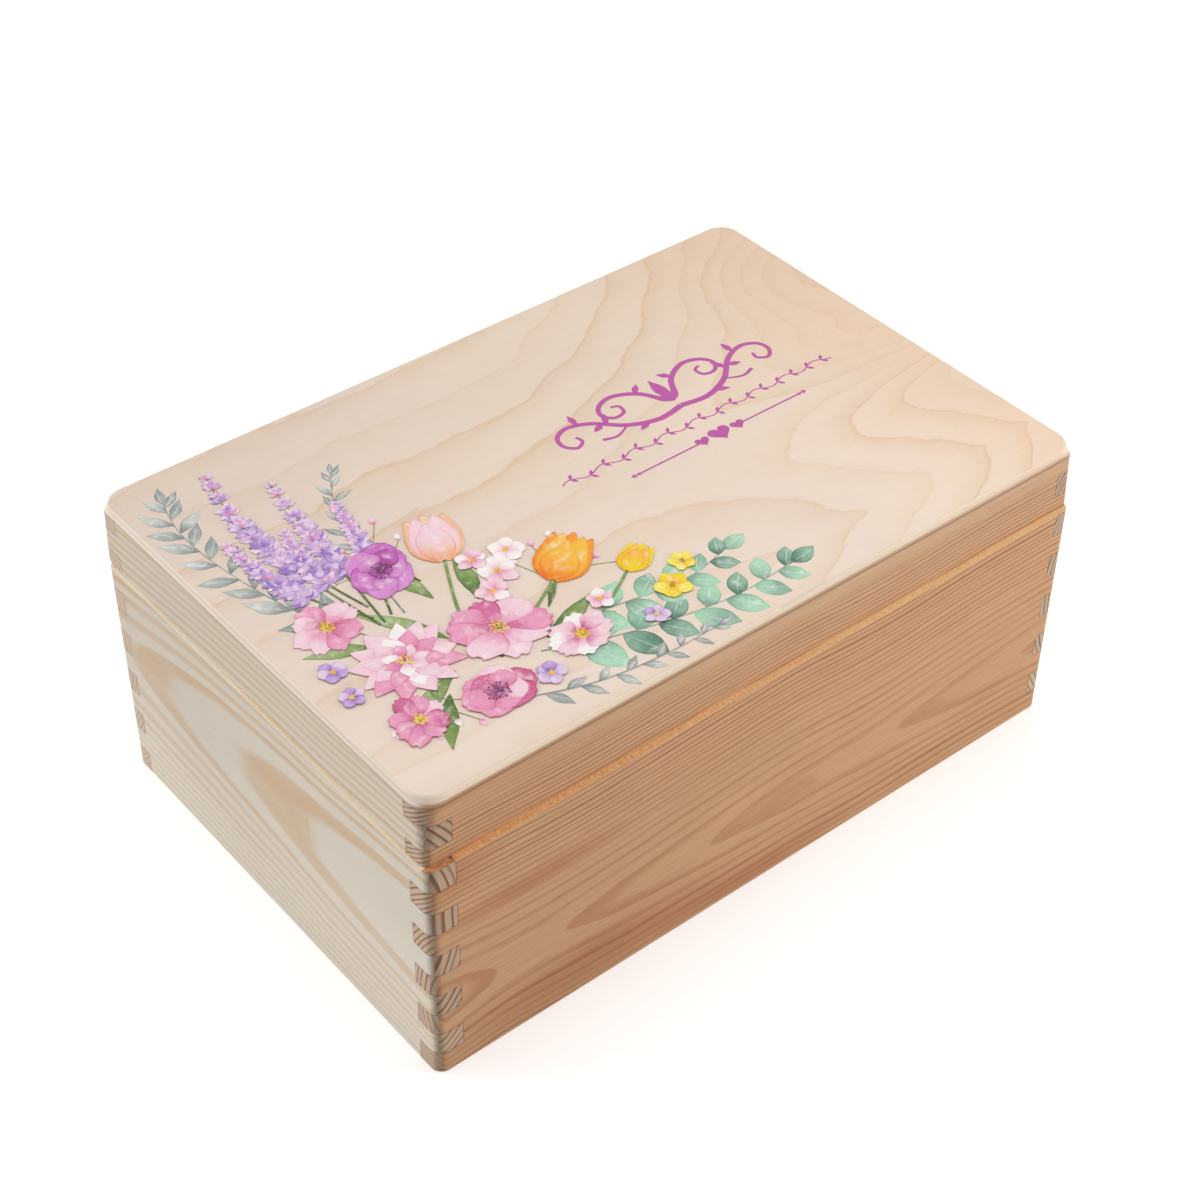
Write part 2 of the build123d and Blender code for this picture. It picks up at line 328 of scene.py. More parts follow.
def sawn_colour(g, x, y, u, v, seed):
    """Saw-fresh wood: cream, golden along the front, russet over the corner finger, and a dark spot
    of painted shadow where the lid's front meets that finger.
    """
    tear = g.noise(u * 0.9, v * 0.5, seed, 3.0, 0.7)
    at_front = g.smooth(1.3, 0.3, y - LID_LOW.y)
    grain = g.smooth(-0.2, 0.25, tear)
    paler = g.smooth(-130.0, 60.0, x)
    golden = g.mix(paler, g.mix(grain, *GOLDEN), g.mix(grain, *PALE_GOLDEN))
    colour = g.mix(at_front, g.mix(grain, *CREAM), golden)
    corner_x = LEFT_LOW.x + LEFT_BOARD
    corner = at_front * g.line(x - corner_x, -0.2, 0.2)
    colour = g.mix(corner * 0.8, colour, g.mix(grain, *RUSSET))
    # Painted shadow: a dark spot on the corner finger's cut, right under the lid's front.
    away = abs(x - (corner_x - 0.4)) + abs(y - LID_LOW.y) * 0.5
    return g.mix(g.line(away, 0.4, 1.1) * 0.8, colour, rgb(84, 52, 36)), tear


def sawn_share(g, plank, x, z, nz, end, tear, side):
    """Where saw-fresh wood shows: on the cut, which faces up or down, and along its worn edges."""
    away = abs(z - BASE_TOP)
    cut = g.smooth(0.6, 0.8, nz * side) * g.line(away, 0.3, 0.5)
    worn = 0.4 + g.smooth(40.0, -140.0, x) * 0.4 + tear * 0.4 if side > 0 else 0.15
    core = 0.5 if plank is LEFT_PLANK and side > 0 else 0.1
    return g.larger(cut, g.line(away, core, worn + core) * 0.8 * (1 - end))


def late_wood(g, plank, u, v, w, t, count):
    """How strongly the dark late wood of the rings shows."""
    lost = g.smooth(1.5, 5.0, count) * plank.fainter
    seen = g.smooth(plank.least - 0.05, plank.least + 0.05, count) * (1 - lost)
    lasting = g.smooth(-0.4, 0.15, g.noise(u * 0.02, v * 0.05 + plank.seed, w * 0.12, 1.0)) * 0.45 + 0.65
    late = g.smooth(plank.rise0, plank.rise1, t) * g.line(t, plank.fall, 1.0) * seen * lasting
    if plank is LEFT_PLANK:
        return g.larger(late, inner_fill(g, count, u, w) * 0.8)
    return late


def front_marks(g, colour, u, w, z, fibre):
    """The front's russet stains, its plainer wood on the lid and its fine dark and light threads."""
    russet = sum(oval(g, u, w, *stain) for stain in STAINS)
    colour = g.mix(russet * (fibre * 0.8 + 0.5), colour, rgb(180, 112, 72))
    up = z - BASE_TOP
    plain = g.smooth(16.0, 21.0, up) * 0.55 + g.smooth(0.0, 3.0, up) * 0.32
    colour = g.mix(plain * g.smooth(-130.0, -30.0, u), colour, rgb(219, 179, 143))
    return g.shade(colour, 1 + g.noise(u * 0.03, 5.0, w * 1.6, 3.0, 0.7) * 0.75)


def end_grain(g, plank, u, v, w, t, luck, tone):
    """The sawn ends, where the rings show as arcs, plainer or whiter near the ground."""
    pores = g.noise(u, v * 6.0, w * 6.0, 2.0)
    near_ground = g.smooth(40.0, 8.0, w)
    plainer, whiter = (0.6, 0.0) if plank.along == "X" else (0.2, 0.15)
    late = g.smooth(0.45, 0.8, t) * g.line(t, 0.9, 1.0) * (luck * 0.35 + 0.65) * (1 - near_ground * plainer)
    colour = g.mix(late, plank.end_early, plank.end_late)
    return g.shade(colour, 0.94 + pores * 0.25 + tone * 0.15 + near_ground * whiter)


def pine(name, plank, low, high, lift, sawn_side):
    """Sanded pine, with saw-fresh wood where the lid was parted from the base."""
    g = Graph(bpy.data.materials.new(name))
    x, y, z = g.place()
    nx, ny, nz = g.axes("Normal")
    u, v = (x, y) if plank.along == "X" else (y, x)
    w = z + lift
    outward = abs(nx if plank.along == "X" else ny)
    end = g.smooth(0.45, 0.8, outward)
    ring_w = w - g.smooth(0.64, 0.76, outward) * END_RISE if plank.along == "Y" else w
    t, count, luck = growth_rings(g, plank, u, v, ring_w)
    late = late_wood(g, plank, u, v, w, t, count)
    dark = g.smooth(0.6, 1.0, luck)
    if plank is FRONT_PLANK:
        strength = front_lines(g, x, z)
        late = late * strength
        dark = dark + g.larger(strength - 1, 0.0)
    late_colour = g.mix(dark * plank.uneven, plank.late, plank.strong)
    colour = g.mix(late * (luck * 0.6 * plank.uneven + 0.95 - 0.5 * plank.uneven), plank.early, late_colour)
    fibre = g.noise(u * 0.015, v * 0.9 + plank.seed, w * 0.9, 3.0)
    fine = g.noise(u * 0.07, v * 3.0, w * 3.0, 2.0)
    if plank is FRONT_PLANK:
        colour = front_marks(g, colour, u, w, z, fibre)
    # Painted light: the left board whitens towards the bottom, standing in for light bounced up from the
    # floor.
    if plank is LEFT_PLANK:
        colour = g.mix(g.smooth(80.0, 0.0, w) * 0.28, colour, rgb(244, 240, 232))
    tone = g.noise(u * 0.006, v * 0.02, w * 0.02 + plank.seed, 1.0)
    # Ground pales the left board downwards, painted light bounced up from the floor, and darkens the front's
    # lower wood; drift is painted light and shade along u, where the lamps' light falls off across a face.
    paler = g.smooth(90.0, 0.0, w) * plank.ground + g.smooth(-110.0, 80.0, u) * plank.drift
    colour = g.shade(colour, 1 + fibre * 0.12 + fine * 0.13 + tone * 0.14 + paler)

    colour = g.mix(end, colour, end_grain(g, plank, u, v, w, t, luck, tone))
    # Painted shade: the rounded vertical corners are darker, as they turn away from the lamps.
    corner_shade = g.smooth(0.2, 0.6, abs(nx)) * g.smooth(0.2, 0.6, abs(ny))
    colour = g.shade(colour, 1 - corner_shade * 0.28)

    lines = finger_lines(g, x, y, w, low, high)
    # Painted shade on the frame, in a band just under the plywood's edge.
    shade_under_ply = g.line(PANEL_LOW.z - z, 0.3, 1.4)
    colour = g.shade(colour, 1 - lines * 0.4 - shade_under_ply * 0.08)

    fresh, tear = sawn_colour(g, x, y, u, v, plank.seed)
    colour = g.mix(sawn_share(g, plank, x, z, nz, end, tear, sawn_side), colour, fresh)

    height = late * 0.4 + fine * 0.7 + fibre * 0.5 - lines * 1.5
    return g.finish(colour, 0.72, height=height, depth=0.1)


# An oval as above, along and across the top: an eddy in its figure
EDDY = (138.0, 54.0, 48.0, 40.0)


def birch_contours(g, x, y, seed):
    """The veneer's figure as a height map: lines sweep back at the right and nest in points at the front."""
    right = g.larger(x + 20, 0.0)
    sweep = right * right * 0.00016
    turn = g.smooth(-45.0, 15.0, y) * 2.2 - 1
    level = g.larger(y, 0.0) / 24 + g.smaller(y, 0.0) / 34 + g.larger(-77 - y, 0.0) * 0.08
    wander = g.noise(x * 0.009 + seed, y * 0.013, 0.0, 1.0) * 1.1
    wave = g.noise(x * 0.03 + seed, y * 0.05, 4.0, 1.0) * 0.6
    jag = g.noise(x * 0.1, y * 0.35 + seed, 0.0, 3.0, 0.65) * 0.2
    return level - sweep * turn + wander + wave + jag - oval(g, x, y, *EDDY) * 2


def birch_edge(g, x, y, z, ny, low, high):
    """The plywood's edge: pale as birch is, on the front pushed paler still as painted light so that it
    shows nearly as bright as the top, with a band of painted shade along the front's lower part, a glue
    line, and painted shadow in the groove at the seam below.
    """
    grit = g.noise(x * 2.0, y * 2.0, z * 2.0, 2.0)
    front = g.smooth(-0.4, -0.8, ny)
    to_right = g.smooth(60.0, 130.0, x)
    # Partly painted light: the front edge is as pale as the wood allows, so it shows nearly as bright as the
    # top.
    pale = g.mix(front, rgb(246, 232, 216), g.mix(to_right, rgb(255, 235, 211), rgb(255, 228, 201)))
    # Painted shade: the front edge's lower part darkens and browns towards the seam with the frame.
    edge_shade = g.line((z - low.z - 2.0) * (1 - to_right * 0.375), -0.75, 0.7)
    edge_shade = edge_shade * (0.95 - g.smooth(-120.0, 160.0, x) * 0.35)
    colour = g.shade(g.mix(front * edge_shade, pale, rgb(196, 146, 106)), 1 + grit * 0.08)
    glue = g.line(abs(z - (high.z - VENEER)), 0.1, 0.7) * 0.4 * g.smooth(-0.3, -0.05, ny)
    colour = g.mix(glue, colour, rgb(206, 172, 142))
    # Painted shadow in the groove at the seam between plywood and frame.
    groove_shade = g.line(z - low.z, 0.3, 0.9) * (0.6 + front * 0.2)
    return g.mix(groove_shade, colour, rgb(140, 104, 80))


def birch(name, seed, low, high):
    """Rotary-cut birch plywood: faint wandering contours, silky patches and short pores."""
    g = Graph(bpy.data.materials.new(name))
    x, y, z = g.place()
    _, ny, nz = g.axes("Normal")
    field = birch_contours(g, x, y, seed)
    t = g.fract(field)
    luck = g.chance(g.floor(field) + seed)
    fade = g.smooth(0.35, 0.95, t) * g.line(t, 0.95, 1.0)
    thread = g.smooth(0.87, 0.95, t) * g.line(t, 0.95, 1.0)
    contour = fade * (luck * 0.15 + 0.1) + thread * (luck * 0.18 + 0.1)
    silk = g.noise(x * 0.012, y * 0.03 + seed, 3.0, 2.0)
    warmth = g.smooth(-160.0, 170.0, x + y * 0.5) + g.noise(x * 0.012 + 5, y * 0.02, seed, 1.0)
    colour = g.mix(g.smooth(0.0, 1.0, warmth), rgb(233, 215, 201), rgb(238, 218, 198))
    amber = g.smooth(70.0, 150.0, x + y * 0.15 + silk * 40)
    colour = g.mix(amber * 0.6, colour, rgb(236, 204, 172))
    colour = g.mix(contour, colour, rgb(220, 180, 134))
    streak = g.noise(x * 0.02, y * 1.2, seed, 3.0)
    fine = g.noise(x * 0.12, y * 3.0, seed, 2.0)
    mottle = g.noise(x * 0.09, y * 0.25, seed, 2.0)
    grain = g.noise(x * 0.5, y * 1.8, seed, 3.0, 0.7)
    light = 1.085 + silk * 0.05 + mottle * 0.06 + streak * 0.05 + fine * 0.06 + grain * 0.09
    # The top is darker towards the back: painted shade.
    colour = g.shade(colour, light - g.smooth(-125.0, 110.0, y) * 0.15)
    colour = g.mix(g.smooth(0.9, 0.5, abs(nz)), colour, birch_edge(g, x, y, z, ny, low, high))
    return g.finish(colour, 0.6, height=streak + fine * 0.7, depth=0.03)


def metal(name, colour, dull, roughness):
    """Plated metal, brushed along the hinge, a little dulled in patches."""
    g = Graph(bpy.data.materials.new(name))
    x, y, z = g.place()
    brush = g.noise(x * 0.4, y * 9.0, z * 9.0, 2.0)
    patch = g.noise(x * 0.5, y * 0.5, z * 0.5, 2.0)
    mixed = g.mix(g.smooth(-0.1, 0.3, patch), colour, dull)
    mixed = g.shade(mixed, 1 + brush * 0.2)
    return g.finish(mixed, roughness + patch * 0.15, metallic=1.0, height=brush, depth=0.02, specular=0.5)


def paint_node(name, material):
    """Gives a CAD node its finish."""
    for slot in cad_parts[name].material_slots:
        slot.material = material


def dress_frame():
    """Finishes for every CAD node."""
    planks = {"front": FRONT_PLANK, "back": BACK_PLANK, "left": LEFT_PLANK, "right": RIGHT_PLANK}
    for side, plank in planks.items():
        paint_node(f"base_{side}_board", pine(f"pine_base_{side}", plank, LEFT_LOW, RIGHT_HIGH, 0.0, 1))
        paint_node(f"lid_{side}_board", pine(f"pine_lid_{side}", plank, PANEL_LOW, PANEL_HIGH, SAW_KERF, -1))
    paint_node("lid_top_panel", birch("birch_top", 2.0, PANEL_LOW, PANEL_HIGH))
    low, high = (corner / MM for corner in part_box("base_bottom_panel"))
    paint_node("base_bottom_panel", birch("birch_bottom", 9.0, low, high))
    brass = metal("hinge_brass", rgb(222, 186, 110), rgb(186, 148, 84), 0.32)
    steel = metal("screw_zinc", rgb(214, 212, 206), rgb(170, 168, 160), 0.3)
    for side in ("left", "right"):
        for half in ("base", "lid"):
            paint_node(f"{side}_hinge_{half}_leaf", brass)
            paint_node(f"{side}_hinge_{half}_screws", steel)
        paint_node(f"{side}_hinge_pin", brass)


# The print on the lid. Each petal, leaf or stem is a closed sheet of ink; sheets that overlap lie at
# different levels, so the later one hides the earlier.
LEVEL_STEP = 0.004
SHEET = 0.002
INK_BASE = PANEL_HIGH.z + LEVEL_STEP

# Half widths from root to tip, evenly spaced, as parts of the widest
BROAD_PETAL = (0.14, 0.42, 0.74, 0.95, 1.0, 0.9, 0.55)
ROUND_PETAL = (0.25, 0.62, 0.9, 1.0, 0.98, 0.8, 0.35)
POINTED_PETAL = (0.2, 0.55, 0.85, 1.0, 0.9, 0.6, 0.06)
CUP_PETAL = (0.35, 0.8, 1.0, 0.98, 0.82, 0.55, 0.08)
LANCE_LEAF = (0.08, 0.5, 0.88, 1.0, 0.85, 0.5, 0.03)
LAUREL_LEAF = (0.08, 0.66, 0.95, 1.0, 0.92, 0.66, 0.05)
BUD = (0.3, 0.8, 1.0, 0.95, 0.8, 0.55, 0.2)

# How finely a petal or leaf is divided, along and to each side
BLADE_ROWS = 10
BLADE_SIDE = 3
# Petals start this share of a flower's radius from its middle
HOLLOW = 0.08
# A squash is a direction and the share to which a shape shrinks across it. This one changes nothing.
FACE_ON = (0.0, 1.0)

Pigment = namedtuple("Pigment", "tint core")


class Print:
    """Gathers sheets of ink, from the lowest level up, and makes one piece of them."""

    def __init__(self, name, seed, lowest=0):
        self.name = name
        self.lowest = lowest
        self.chance = random.Random(seed)
        self.points = []
        self.faces = []
        self.traits = []

    def height(self, level, under):
        """The height of a sheet's upper side or its underside."""
        return INK_BASE + (self.lowest + level) * LEVEL_STEP - (SHEET if under else 0.0)

    def sheet(self, rows, level, pigment, tilt=0.0):
        """A closed sheet over rows of points, root first; tilt raises its tip by that many levels."""
        start = len(self.points)
        wide = len(rows[0])
        last = len(rows) - 1
        number = self.chance.random()
        for under in (True, False):
            for i, row in enumerate(rows):
                along = i / last
                z = self.height(level + tilt * along, under)
                for j, (x, y) in enumerate(row):
                    self.points.append((x * MM, y * MM, z * MM))
                    self.traits.append((along, j / (wide - 1), number, pigment))
        count = len(rows) * wide

        def corner(i, j, top):
            return start + i * wide + j + (count if top else 0)

        for i in range(last):
            for j in range(wide - 1):
                square = [(i, j), (i, j + 1), (i + 1, j + 1), (i + 1, j)]
                self.faces.append([corner(a, b, True) for a, b in reversed(square)])
                self.faces.append([corner(a, b, False) for a, b in square])
        rim = [(0, j) for j in range(wide)] + [(i, wide - 1) for i in range(1, last + 1)]
        rim += [(last, j) for j in range(wide - 2, -1, -1)] + [(i, 0) for i in range(last - 1, 0, -1)]
        for (a, b), (c, d) in zip(rim, rim[1:] + rim[:1]):
            wall = [corner(c, d, False), corner(a, b, False), corner(a, b, True), corner(c, d, True)]
            self.faces.append(wall)

    def blade(self, root, angle, length, width, shape, level, pigment, bend=0.0, ripple=0.0, squash=FACE_ON):
        """A petal or leaf from its root, bent to one side, with a rippled tip; squash foreshortens it."""
        phase = self.chance.uniform(0, 2 * math.pi)
        lobes = self.chance.uniform(1.3, 2.2)
        rows = []
        for i in range(BLADE_ROWS + 1):
            t = i / BLADE_ROWS
            share = between(shape, t)
            row = []
            for j in range(2 * BLADE_SIDE + 1):
                v = j / BLADE_SIDE - 1
                wave = ripple * math.sin(phase + lobes * math.pi * v) - 0.12 * v * v
                reach = t * (1 + share * t * t * wave)
                side = v * share * width / 2 * (1 + 0.5 * ripple * math.sin(phase + 9 * t))
                side += bend * length * reach * reach
                row.append(squashed(root, angle, length * reach, side, squash))
            rows.append(row)
        self.sheet(rows, level, pigment)

    def stem(self, path, width0, width1, level, pigment, tilt=0.0):
        """A line along a path of points, from one width to another."""
        rows = []
        for i, (x, y) in enumerate(path):
            t = i / (len(path) - 1)
            before = path[max(i - 1, 0)]
            after = path[min(i + 1, len(path) - 1)]
            dx, dy = after[0] - before[0], after[1] - before[1]
            size = math.hypot(dx, dy)
            half = (width0 + (width1 - width0) * t) / 2
            nx, ny = -dy / size * half, dx / size * half
            rows.append([(x - nx, y - ny), (x, y), (x + nx, y + ny)])
        self.sheet(rows, level, pigment, tilt)

    def plate(self, outline, level, pigment):
        """A closed flat shape inside an outline."""
        start = len(self.points)
        number = self.chance.random()
        size = len(outline)
        for under in (True, False):
            z = self.height(level, under)
            for x, y in outline:
                self.points.append((x * MM, y * MM, z * MM))
                self.traits.append((0.5, 0.5, number, pigment))
        self.faces.append([start + i for i in reversed(range(size))])
        self.faces.append([start + size + i for i in range(size)])
        for i in range(size):
            j = (i + 1) % size
            self.faces.append([start + i, start + j, start + size + j, start + size + i])

    def piece(self, material):
        """The finished mesh, riding on the lid."""
        mesh = bpy.data.meshes.new(self.name)
        mesh.from_pydata(self.points, [], self.faces)
        for index, name in enumerate(("along", "across", "number")):
            layer = mesh.attributes.new(name, "FLOAT", "POINT")
            layer.data.foreach_set("value", [traits[index] for traits in self.traits])
        for name in ("tint", "core"):
            layer = mesh.attributes.new(name, "FLOAT_COLOR", "POINT")
            colours = [getattr(traits[3], name) for traits in self.traits]
            layer.data.foreach_set("color", [value for colour in colours for value in colour])
        mesh.materials.append(material)
        made = new_object(self.name, mesh)
        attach(made, "lid")


def between(values, t):
    """A smooth value at t from 0 to 1 along evenly spaced values."""
    place = t * (len(values) - 1)
    low = min(int(place), len(values) - 2)
    part = place - low
    part = part * part * (3 - 2 * part) * 0.5 + part * 0.5
    return values[low] + (values[low + 1] - values[low]) * part


def squashed(root, angle, ahead, side=0.0, squash=FACE_ON):
    """The point ahead of and beside a root, foreshortened by the squash."""
    direction, share = squash
    x = ahead * math.cos(angle) - side * math.sin(angle)
    y = ahead * math.sin(angle) + side * math.cos(angle)
    c, s = math.cos(direction), math.sin(direction)
    p, q = x * c + y * s, (-x * s + y * c) * share
    return root[0] + p * c - q * s, root[1] + p * s + q * c


def curve(points, steps):
    """A smooth path through points (Catmull-Rom)."""
    padded = [points[0]] + list(points) + [points[-1]]
    path = []
    for corners in zip(padded, padded[1:], padded[2:], padded[3:]):
        for i in range(steps):
            t = i / steps
            path.append(tuple(
                0.5 * (2 * q + (r - p) * t + (2 * p - 5 * q + 4 * r - s) * t * t
                       + (3 * q - p - 3 * r + s) * t ** 3)
                for p, q, r, s in zip(*corners)
            ))
    return path + [tuple(points[-1])]


def watercolour():
    """Washes of paint, streaked from root to tip, dark along dried edges and thin in places."""
    g = Graph(bpy.data.materials.new("print_watercolour"))
    x, y, _ = g.place()
    along = g.attribute("along")
    across = g.attribute("across")
    number = g.attribute("number") * 60
    side = abs(across * 2 - 1)
    tint = g.attribute("tint", "Color")
    core = g.attribute("core", "Color")
    wash = g.noise(x * 0.22 + number, y * 0.22, number, 3.0, 0.6)
    colour = g.mix(g.line(along + wash * 0.8, 0.05, 0.7), tint, core)
    vein = g.noise(along * 1.2 + number, across * 9.0 + number, 0.0, 3.0, 0.65)
    colour = g.mix(g.smooth(0.03, 0.3, vein) * (1 - along * 0.6) * 0.6, colour, core)
    thin = g.smooth(-0.02, 0.26, g.noise(x * 0.3, y * 0.3 + number, number, 2.0)) * g.line(side, 0.4, 0.95)
    colour = g.mix(thin * 0.45, colour, rgb(255, 251, 248))
    pool = g.smooth(0.0, 0.26, g.noise(x * 0.45 + number, y * 0.45, 0.0, 3.0, 0.65))
    shaded = g.smooth(0.35, 0.0, along) * 0.35 + g.smooth(0.5, 1.0, across) * 0.22
    colour = g.mix(pool * 0.3 + shaded, colour, colour, "MULTIPLY")
    rim = g.larger(g.smooth(0.84, 1.0, side), g.smooth(0.93, 1.0, along))
    colour = g.mix(rim * 0.5, colour, colour, "MULTIPLY")
    grain = g.noise(x * 3.0, y * 3.0, 0.0, 2.0)
    colour = g.shade(colour, 0.98 + vein * 0.16 + grain * 0.08 - rim * 0.06 - shaded * 0.1)
    return g.finish(colour, 0.62)


def magenta_ink():
    """One even ink, a little open where the wood's grain shows through."""
    g = Graph(bpy.data.materials.new("print_magenta"))
    x, y, _ = g.place()
    fibre = g.noise(x * 0.15, y * 3.0, 0.0, 3.0)
    grain = g.noise(x * 2.5, y * 2.5, 1.0, 2.0)
    colour = g.mix(g.smooth(0.05, 0.4, fibre + grain * 0.6) * 0.4, rgb(190, 92, 166), rgb(206, 128, 180))
    return g.finish(colour, 0.6)


WHITE = rgb(255, 249, 246)
BLUSH = rgb(250, 216, 226)
PINK = rgb(240, 164, 196)
ROSE = rgb(216, 112, 158)
LILAC = rgb(204, 172, 222)
PALE_LILAC = rgb(234, 210, 236)
VIOLET = rgb(162, 128, 202)
MAGENTA = rgb(196, 96, 182)
MALLOW = rgb(206, 116, 196)
ORCHID = rgb(222, 150, 212)
PLUM = rgb(142, 52, 122)
AUBERGINE = rgb(84, 40, 90)
PEACH = rgb(250, 196, 160)
BUTTER = rgb(254, 232, 190)
ORANGE = rgb(250, 160, 52)
AMBER = rgb(252, 196, 70)
YELLOW = rgb(250, 222, 46)
LEMON = rgb(254, 236, 110)
OCHRE = rgb(198, 160, 50)
LEAF = rgb(132, 160, 88)
MOSS = rgb(92, 122, 62)
MINT = rgb(180, 224, 194)
JADE = rgb(152, 188, 166)
PINE_GREEN = rgb(106, 146, 126)
OLIVE = rgb(170, 186, 130)
SAGE = rgb(186, 192, 184)
MIST = rgb(206, 209, 203)
ASH = rgb(158, 166, 164)


def inks(*pairs):
    """Pigments from pairs of a tint and a core."""
    return [Pigment(*pair) for pair in pairs]


GREEN_STEM = Pigment(LEAF, MOSS)
GREY_STEM = Pigment(ASH, ASH)
POLLEN = inks((YELLOW, OCHRE), (AMBER, OCHRE))


def eye(ink, x, y, radius, count, level, pigments):
    """The middle of a flower: dots scattered thicker towards the centre."""
    for i in range(count):
        angle = i * 2.4
        reach = radius * math.sqrt((i + 0.5) / count)
        size = ink.chance.uniform(0.45, 0.75)
        middle_x, middle_y = x + reach * math.cos(angle), y + reach * math.sin(angle)
        turns = [k * math.pi / 4 for k in range(8)]
        outline = [(middle_x + size * math.cos(turn), middle_y + size * math.sin(turn)) for turn in turns]
        ink.plate(outline, level + i % 6, pigments[i % len(pigments)])


def whorl(ink, x, y, radius, count, width, shape, level, pigments, squash, ripple=0.05):
    """A ring of petals about a point, each a little over the one before."""
    start = ink.chance.uniform(0, 2 * math.pi)
    for i in range(count):
        angle = start + (i + ink.chance.uniform(-0.18, 0.18)) * 2 * math.pi / count
        length = radius * ink.chance.uniform(0.88, 1.06)
        root = squashed((x, y), angle, radius * HOLLOW, 0.0, squash)
        bend = ink.chance.uniform(-0.12, 0.12)
        pigment = pigments[ink.chance.randrange(len(pigments))]
        ink.blade(root, angle, length * (1 - HOLLOW), width * ink.chance.uniform(0.88, 1.1), shape,
                  level + i, pigment, bend, ripple, squash)


def dahlia(ink, x, y, radius, level, pigments, squash):
    """A double flower of pointed petals in three rings."""
    for share, count, width, up in ((1.0, 13, 0.46, 0), (0.72, 10, 0.38, 13), (0.42, 7, 0.26, 23)):
        whorl(ink, x, y, radius * share, count, radius * width, POINTED_PETAL, level + up, pigments, squash)
    eye(ink, x, y, radius * 0.13, 12, level + 30, POLLEN)


def cosmos(ink, x, y, radius, level, pigments, squash):
    """Eight broad petals with notched tips round a yellow eye."""
    whorl(ink, x, y, radius, 8, radius * 0.74, BROAD_PETAL, level, pigments, squash, 0.1)
    eye(ink, x, y, radius * 0.19, 20, level + 8, POLLEN + inks((OCHRE, OCHRE)))


def anemone(ink, x, y, radius, level, pigments, squash):
    """Round overlapping petals in two rings, with a dark eye and a ring of stamens."""
    whorl(ink, x, y, radius, 6, radius * 1.05, ROUND_PETAL, level, pigments, squash, 0.06)
    whorl(ink, x, y, radius * 0.8, 5, radius * 0.84, ROUND_PETAL, level + 6, pigments, squash, 0.06)
    dark = inks((PLUM, PLUM), (AUBERGINE, PLUM))
    for i in range(22):
        angle = i * 2 * math.pi / 22
        reach = radius * ink.chance.uniform(0.24, 0.34)
        tip = squashed((x, y), angle, reach, 0.0, squash)
        ink.stem([(x, y), ((x + tip[0]) / 2, (y + tip[1]) / 2), tip], 0.25, 0.25, level + 12 + i % 3, dark[0])
        dot = [(tip[0] + 0.5 * math.cos(k), tip[1] + 0.5 * math.sin(k)) for k in range(6)]
        ink.plate(dot, level + 15 + i % 3, dark[i % 2])
    eye(ink, x, y, radius * 0.13, 12, level + 18, dark)


def primrose(ink, x, y, radius, level, pigments, heart):
    """A small flower of five round petals."""
    whorl(ink, x, y, radius, 5, radius * 0.9, ROUND_PETAL, level, pigments, FACE_ON, 0.09)
    eye(ink, x, y, radius * 0.16, 5, level + 5, [heart])


def tulip(ink, x, y, angle, length, level, back, front):
    """A tulip from the side, its cup opening away from the root."""
    for k, turn in enumerate((-0.5, 0.5, 0.0)):
        ink.blade((x, y), angle + turn, length * (0.94 if turn else 1.0), length * 0.46, CUP_PETAL,
                  level + k, back, -turn * 0.45, 0.05)
    for k, turn in enumerate((-0.36, 0.38)):
        ink.blade((x, y), angle + turn, length * 0.92, length * 0.5, CUP_PETAL,
                  level + 3 + k, front, -turn * 0.6, 0.05)
    ink.blade((x, y), angle + 0.02, length * 0.8, length * 0.52, CUP_PETAL, level + 5, front, 0.02, 0.07)


def lavender(ink, points, width, level):
    """A flower spike: a stem whose far part carries whorls of small buds."""
    path = curve(points, 12)
    ink.stem(path, 0.9, 0.5, level, GREEN_STEM)
    deep = inks((VIOLET, LILAC), (LILAC, VIOLET), (PALE_LILAC, LILAC), (LILAC, PALE_LILAC))
    fresh = inks((PALE_LILAC, LILAC), (BLUSH, LILAC), (LILAC, PINK), (PALE_LILAC, PINK))
    rings = 17
    first = len(path) * 3 // 10
    for ring in range(rings):
        t = ring / (rings - 1)
        at = first + int((len(path) - 2 - first) * t)
        x, y = path[at]
        ahead = math.atan2(path[at + 1][1] - y, path[at + 1][0] - x)
        size = width * (1 - 0.6 * t)
        for k in range(9):
            turn = (k - 4) * 0.4 + ink.chance.uniform(-0.2, 0.2)
            length = size * ink.chance.uniform(0.38, 0.6)
            pigment = (fresh if ink.chance.random() < t else deep)[ink.chance.randrange(4)]
            ink.blade((x, y), ahead + turn, length, length * ink.chance.uniform(0.5, 0.7), BUD,
                      level + 1 + (ring % 3) * 9 + (k * 4) % 9, pigment, 0.1, 0.12)


def sprig(ink, points, leaves, length, width, shape, level, stem, pigments, spread):
    """A twig with leaves to both sides, shorter towards its tip."""
    path = curve(points, 14)
    ink.stem(path, 0.8, 0.4, level, stem)
    for i in range(leaves + 1):
        t = (i + 1) / (leaves + 1)
        at = min(int((len(path) - 1) * (0.12 + 0.88 * t)), len(path) - 2)
        x, y = path[at]
        ahead = math.atan2(path[at + 1][1] - y, path[at + 1][0] - x)
        turn = 0.0 if i == leaves else (spread if i % 2 else -spread) + ink.chance.uniform(-0.2, 0.2)
        size = length * (1.08 - 0.4 * t) * ink.chance.uniform(0.85, 1.1)
        pigment = pigments[ink.chance.randrange(len(pigments))]
        ink.blade((x, y), ahead + turn, size, width * size / length, shape, level + 1 + i % 5, pigment,
                  ink.chance.uniform(-0.15, 0.15), 0.03)
        vein = [squashed((x, y), ahead + turn, size * part) for part in (0.02, 0.4, 0.8)]
        ink.stem(vein, 0.3, 0.12, level + 6, Pigment(WHITE, pigment.core))


